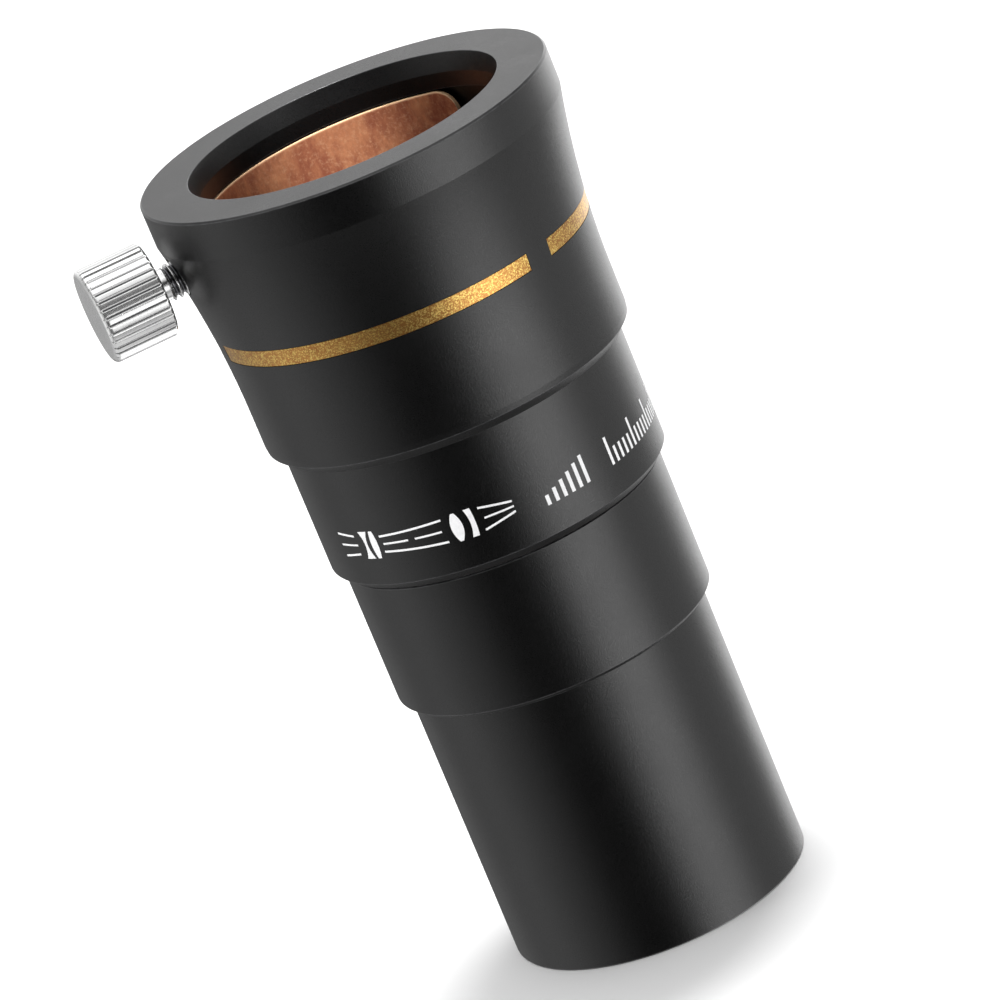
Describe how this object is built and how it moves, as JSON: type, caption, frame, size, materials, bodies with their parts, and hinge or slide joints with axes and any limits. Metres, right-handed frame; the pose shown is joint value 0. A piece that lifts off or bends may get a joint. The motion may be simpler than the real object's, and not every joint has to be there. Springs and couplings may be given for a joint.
{
  "type": "barlow lens",
  "caption": "Stepped black telescope Barlow lens with a flared eyepiece holder, split compression ring, knurled side thumbscrew and recessed front lens",
  "frame": {"origin": "on the optical axis in the plane of the nosepiece's open end", "axes": "+Z along the optical axis towards the eyepiece; the thumbscrew points along -X"},
  "size_m": [0.0517, 0.043, 0.0881],
  "materials": {
    "black_anodised": "satin black anodised aluminium with fine bead-blast grain",
    "cell_black": "matte black anodised aluminium",
    "gold_enamel": "metallic gold enamel with fine flake",
    "ring_bronze": "burnished copper-bronze strip",
    "bright_plate": "bright nickel plate, straight knurl",
    "screw_steel": "dark zinc-plated steel thread",
    "coated_glass": "multi-coated optical glass with a blue-green reflection"
  },
  "bodies": {
    "root": {"eyepiece_holder": "black_anodised", "gold_band_arc_1": "gold_enamel", "gold_band_arc_2": "gold_enamel", "gold_band_arc_3": "gold_enamel", "nosepiece": "black_anodised", "front_cell": "cell_black", "front_lens_outer": "coated_glass", "front_lens_inner": "coated_glass", "front_retaining_ring": "cell_black", "light_stop_front": "cell_black", "light_stop_rear": "cell_black", "rear_cell": "cell_black", "rear_lens_lower": "coated_glass", "rear_lens_upper": "coated_glass", "rear_retaining_ring": "cell_black"},
    "screw_shank": {"thumbscrew_shank": "screw_steel"},
    "screw_head": {"thumbscrew_head": "bright_plate"},
    "clamp_ring": {"compression_ring": "ring_bronze"}
  },
  "joints": [
    {"name": "thumbscrew_travel", "type": "slide", "parent": "root", "child": "screw_shank", "axis": [-1, 0, 0], "range_m": [-0.00035, 0.0021]},
    {"name": "thumbscrew_turn", "type": "hinge", "parent": "screw_shank", "child": "screw_head", "pos_m": [-0.027, 0, 0.081], "axis": [-1, 0, 0], "range_deg": [-180.5, 1080.5]},
    {"name": "ring_clamp", "type": "slide", "parent": "root", "child": "clamp_ring", "axis": [1, 0, 0], "range_m": [-0.000301, 0.000051]}
  ],
  "couplings": [
    {"joint": "thumbscrew_turn", "follows": "thumbscrew_travel", "rad_per_m": 8976},
    {"joint": "ring_clamp", "follows": "thumbscrew_travel", "ratio": -0.14286}
  ]
}
